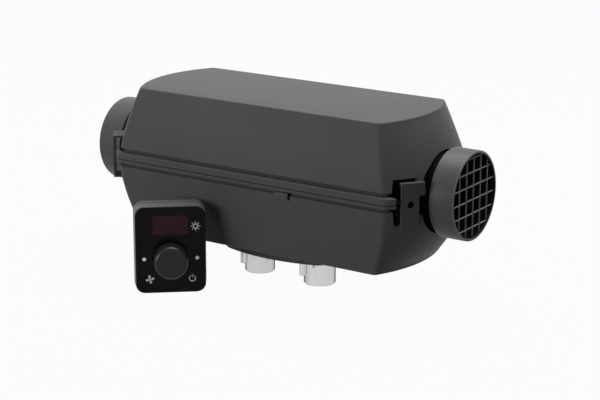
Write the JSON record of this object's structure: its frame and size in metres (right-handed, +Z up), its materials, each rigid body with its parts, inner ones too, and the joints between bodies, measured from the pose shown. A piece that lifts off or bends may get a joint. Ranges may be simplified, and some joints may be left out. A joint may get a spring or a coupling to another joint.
{
  "type": "diesel air heater",
  "caption": "Compact diesel air heater: finned burner and fan in a two-part plastic housing with duct rings, base pipes and a separate control panel.",
  "frame": {"origin": "centre of the mounting face, the underside of the base gasket", "axes": "+X along the air axis to the inlet ring with its grille, -Y to the front, +Z up from the mounting face through the roof"},
  "size_m": [0.3639, 0.1867, 0.164],
  "materials": {
    "shell_plastic": "matte dark grey with a fine grain",
    "ring_plastic": "satin dark grey",
    "grille_plastic": "satin mid grey",
    "clip_plastic": "satin dark grey",
    "screw_steel": "dark zinc",
    "gasket_rubber": "matte black",
    "stud_steel": "zinc plated",
    "pipe_aluminium": "bright, lightly brushed",
    "fuel_steel": "stainless",
    "cast_aluminium": "die cast, dull",
    "burner_gasket_sheet": "graphite sheet",
    "burner_steel": "heat tinted stainless",
    "glow_plug_steel": "plated",
    "screen_mesh": "woven wire",
    "sensor_steel": "bright",
    "blower_aluminium": "die cast",
    "motor_steel": "zinc plated",
    "bearing_steel": "ground",
    "magnet_ferrite": "sintered",
    "armature_iron": "varnished",
    "impeller_aluminium": "die cast",
    "fan_plastic": "black",
    "unit_plastic": "black",
    "circuit_board": "solder mask",
    "grommet_rubber": "soft black",
    "panel_plastic": "gloss black",
    "display_glass": "tinted, clear coat",
    "lamp_lens": "frosted white",
    "display_body": "grey",
    "knob_plastic": "satin black",
    "encoder_metal": "plated",
    "switch_plastic": "black"
  },
  "bodies": {
    "heater": {"upper_shell": "shell_plastic", "lower_shell": "shell_plastic", "inlet_ring": "ring_plastic", "outlet_ring": "ring_plastic", "inlet_grille": "grille_plastic", "seam_clip_front_inlet": "clip_plastic", "seam_clip_rear_inlet": "clip_plastic", "seam_clip_front_outlet": "clip_plastic", "seam_clip_rear_outlet": "clip_plastic", "clip_screws": "screw_steel", "base_gasket": "gasket_rubber", "mounting_studs": "stud_steel", "exhaust_pipe": "pipe_aluminium", "intake_pipe": "pipe_aluminium", "fuel_pipe": "fuel_steel", "heat_exchanger": "cast_aluminium", "burner_gasket": "burner_gasket_sheet", "combustion_chamber": "burner_steel", "glow_plug": "glow_plug_steel", "glow_plug_screen": "screen_mesh", "overheat_sensor": "sensor_steel", "sensor_clip": "sensor_steel", "blower_housing": "blower_aluminium", "blower_cover": "blower_aluminium", "blower_bolts": "screw_steel", "motor_can": "motor_steel", "motor_end_cap": "motor_steel", "bearing_burner_side": "bearing_steel", "bearing_fan_side": "bearing_steel", "stator_magnets": "magnet_ferrite", "control_unit_case": "unit_plastic", "control_unit_board": "circuit_board", "harness_grommet": "grommet_rubber", "panel_frame": "panel_plastic", "panel_back": "panel_plastic", "panel_face": "panel_plastic", "display_window": "display_glass", "indicator_lens_left": "lamp_lens", "indicator_lens_right": "lamp_lens", "display_module": "display_body", "panel_board": "circuit_board", "encoder_body": "encoder_metal", "cable_socket": "switch_plastic"},
    "rotor": {"motor_shaft": "bearing_steel", "armature": "armature_iron", "heating_fan": "fan_plastic", "fan_magnet": "magnet_ferrite", "combustion_impeller": "impeller_aluminium"},
    "plunger": {"switch_plunger": "switch_plastic"},
    "knob": {"encoder_stem": "encoder_metal", "control_knob": "knob_plastic"}
  },
  "joints": [
    {"name": "rotor_spin", "type": "hinge", "parent": "heater", "child": "rotor", "pos_m": [0, 0, 0.076], "axis": [1, 0, 0], "continuous": true},
    {"name": "knob_press", "type": "slide", "parent": "heater", "child": "plunger", "axis": [-0.6428, 0.766, 0], "range_m": [0, 0.0006], "stiffness_N_per_m": 800},
    {"name": "knob_turn", "type": "hinge", "parent": "plunger", "child": "knob", "pos_m": [-0.056, -0.098, 0.0066], "axis": [0.6428, -0.766, 0], "continuous": true}
  ]
}
